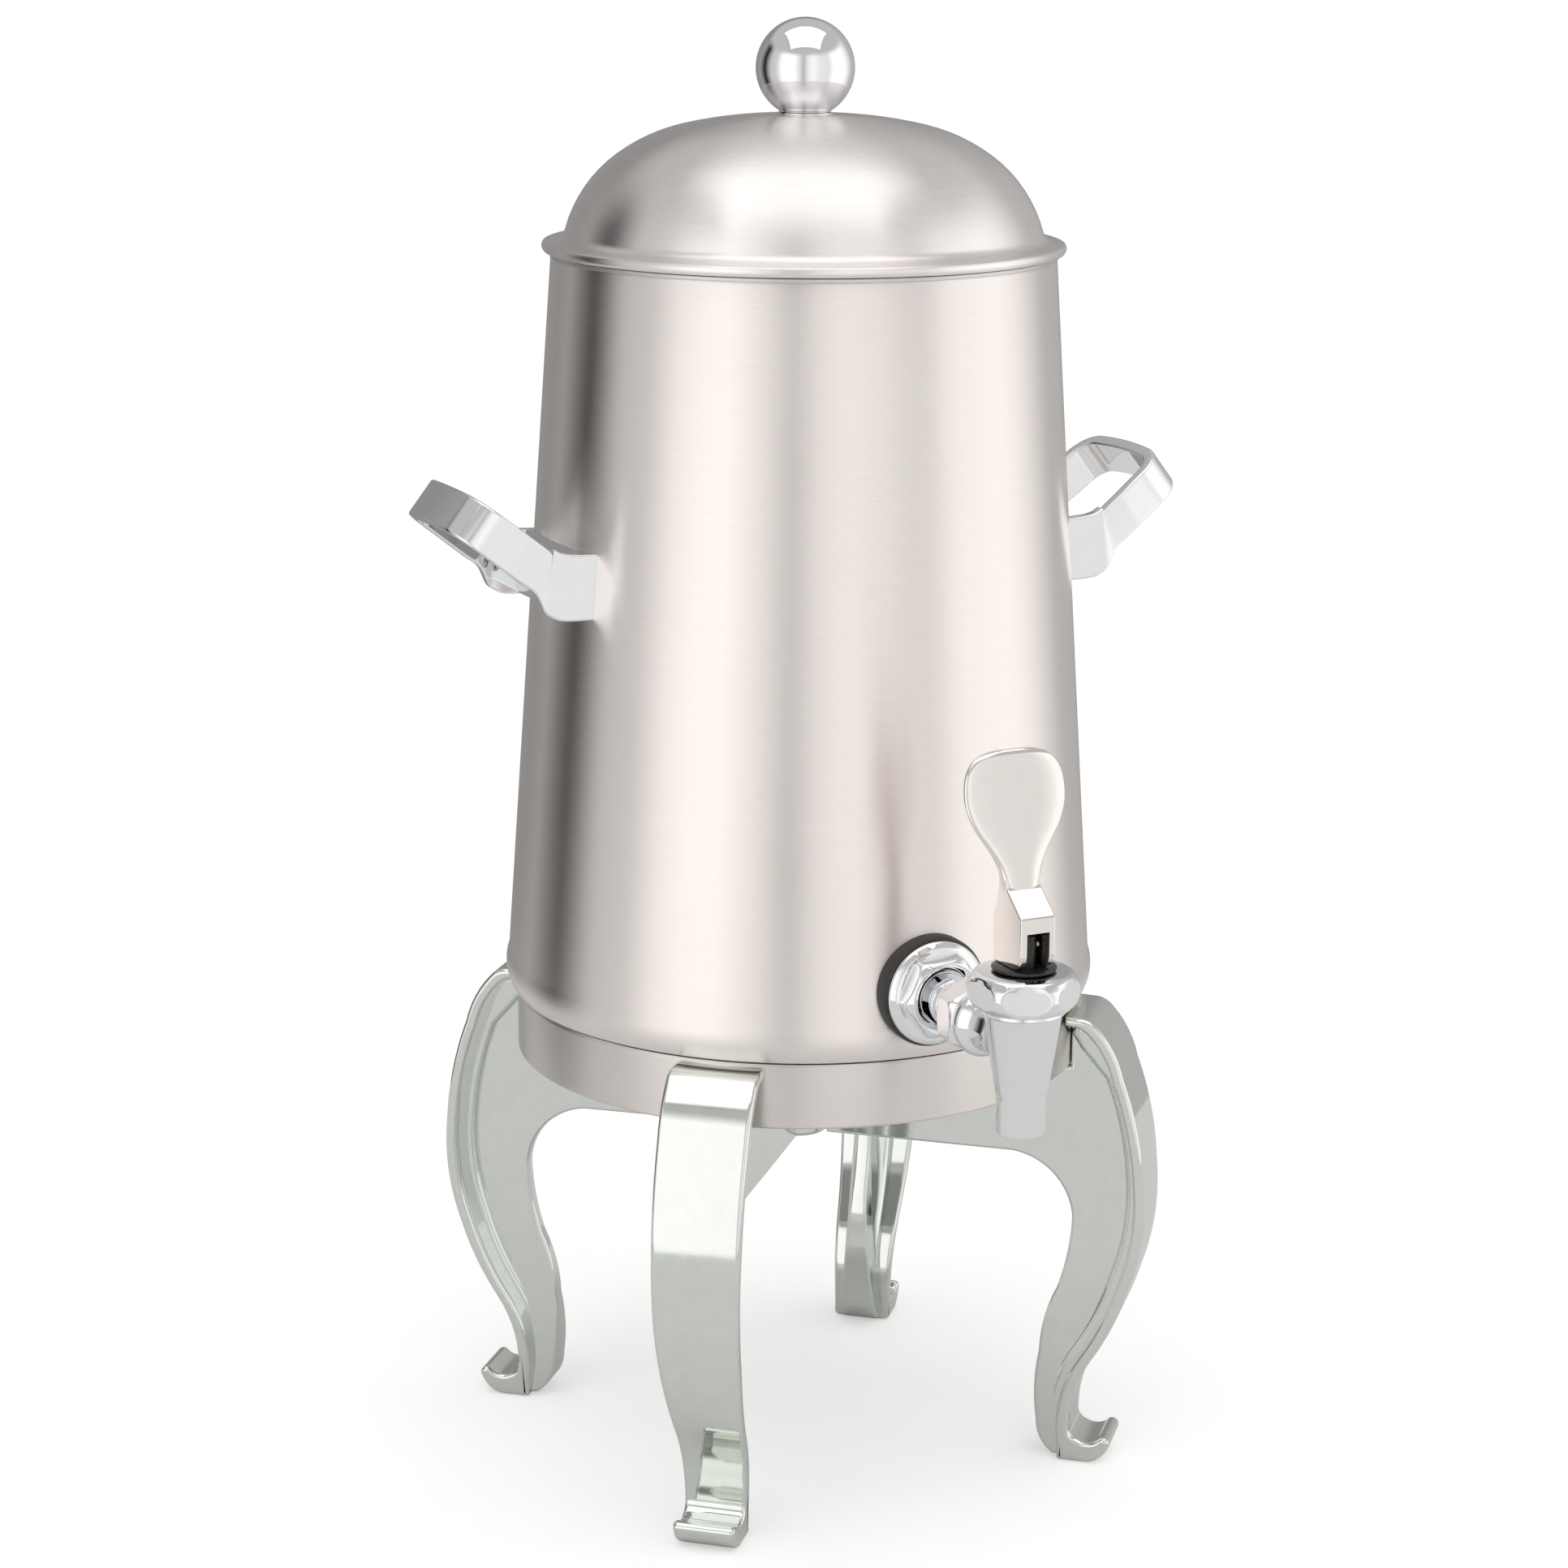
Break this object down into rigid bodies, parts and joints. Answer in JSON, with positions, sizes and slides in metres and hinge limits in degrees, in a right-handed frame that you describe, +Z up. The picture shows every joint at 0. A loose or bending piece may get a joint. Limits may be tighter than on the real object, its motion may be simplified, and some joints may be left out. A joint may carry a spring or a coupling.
{
  "type": "coffee urn",
  "caption": "Footed coffee urn: double-walled steel body with a lift-off domed lid, loop handles on the sides and a lever faucet over a footed stand.",
  "frame": {"origin": "on the surface it stands on, on the vertical axis of the urn's body", "axes": "+Z up along the urn's axis, faucet towards -Y, side handles on +X and -X"},
  "size_m": [0.29, 0.3066, 0.5308],
  "materials": {
    "brushed_shell": "brushed round the body",
    "inner_steel": "satin",
    "brushed_lid": "brushed in rings",
    "brushed_band": "brushed round the body",
    "leg_plate": "satin nickel over a casting",
    "handle_chrome": "polished chrome plate",
    "knob_chrome": "polished chrome plate",
    "faucet_chrome": "polished chrome plate",
    "lever_nickel": "polished nickel plate",
    "black_rubber": "matte",
    "black_plastic": "semi-gloss",
    "clear_silicone": "matte",
    "fastener_steel": "bright"
  },
  "bodies": {
    "urn": {"outer_shell": "brushed_shell", "inner_liner": "inner_steel", "mouth_rim": "inner_steel", "base_ring": "brushed_band", "base_plate": "inner_steel", "ring_screws": "fastener_steel", "leg_screws": "fastener_steel", "leg_back_right": "leg_plate", "leg_back_left": "leg_plate", "leg_front_left": "leg_plate", "leg_front_right": "leg_plate", "stand_hub": "leg_plate", "stand_bolt": "fastener_steel", "stand_nut": "fastener_steel", "handle_right": "handle_chrome", "handle_left": "handle_chrome", "handle_screws": "fastener_steel", "handle_nuts": "fastener_steel", "shank": "faucet_chrome", "shank_gasket": "black_rubber", "inner_seal": "clear_silicone", "inner_lock_nut": "fastener_steel", "flange_nut": "faucet_chrome", "faucet_coupling": "faucet_chrome", "faucet_body": "faucet_chrome", "bonnet": "faucet_chrome", "stem_washer": "black_plastic", "valve_spring": "fastener_steel"},
    "lid": {"lid_dome": "brushed_lid", "lid_plug": "inner_steel", "lid_gasket": "clear_silicone", "lid_knob": "knob_chrome", "knob_washer": "knob_chrome", "knob_stud": "fastener_steel", "knob_nut": "fastener_steel"},
    "valve_stem": {"stem": "black_plastic", "seat_cup": "clear_silicone", "hinge_pin": "fastener_steel"},
    "lever": {"lever": "lever_nickel"}
  },
  "joints": [
    {"name": "lid_lift", "type": "slide", "parent": "urn", "child": "lid", "axis": [0, 0, 1], "range_m": [0, 0.09]},
    {"name": "stem_lift", "type": "slide", "parent": "urn", "child": "valve_stem", "axis": [0, 0, 1], "range_m": [0, 0.00249], "deforming": ["valve_spring"]},
    {"name": "lever_tilt", "type": "hinge", "parent": "valve_stem", "child": "lever", "pos_m": [0, -0.174, 0.237], "axis": [1, 0, 0], "range_deg": [0, 55], "stiffness_Nm_per_rad": 0.35, "springref_deg": -14.32}
  ],
  "couplings": [
    {"joint": "lever_tilt", "follows": "stem_lift", "rad_per_m": 384.6}
  ]
}
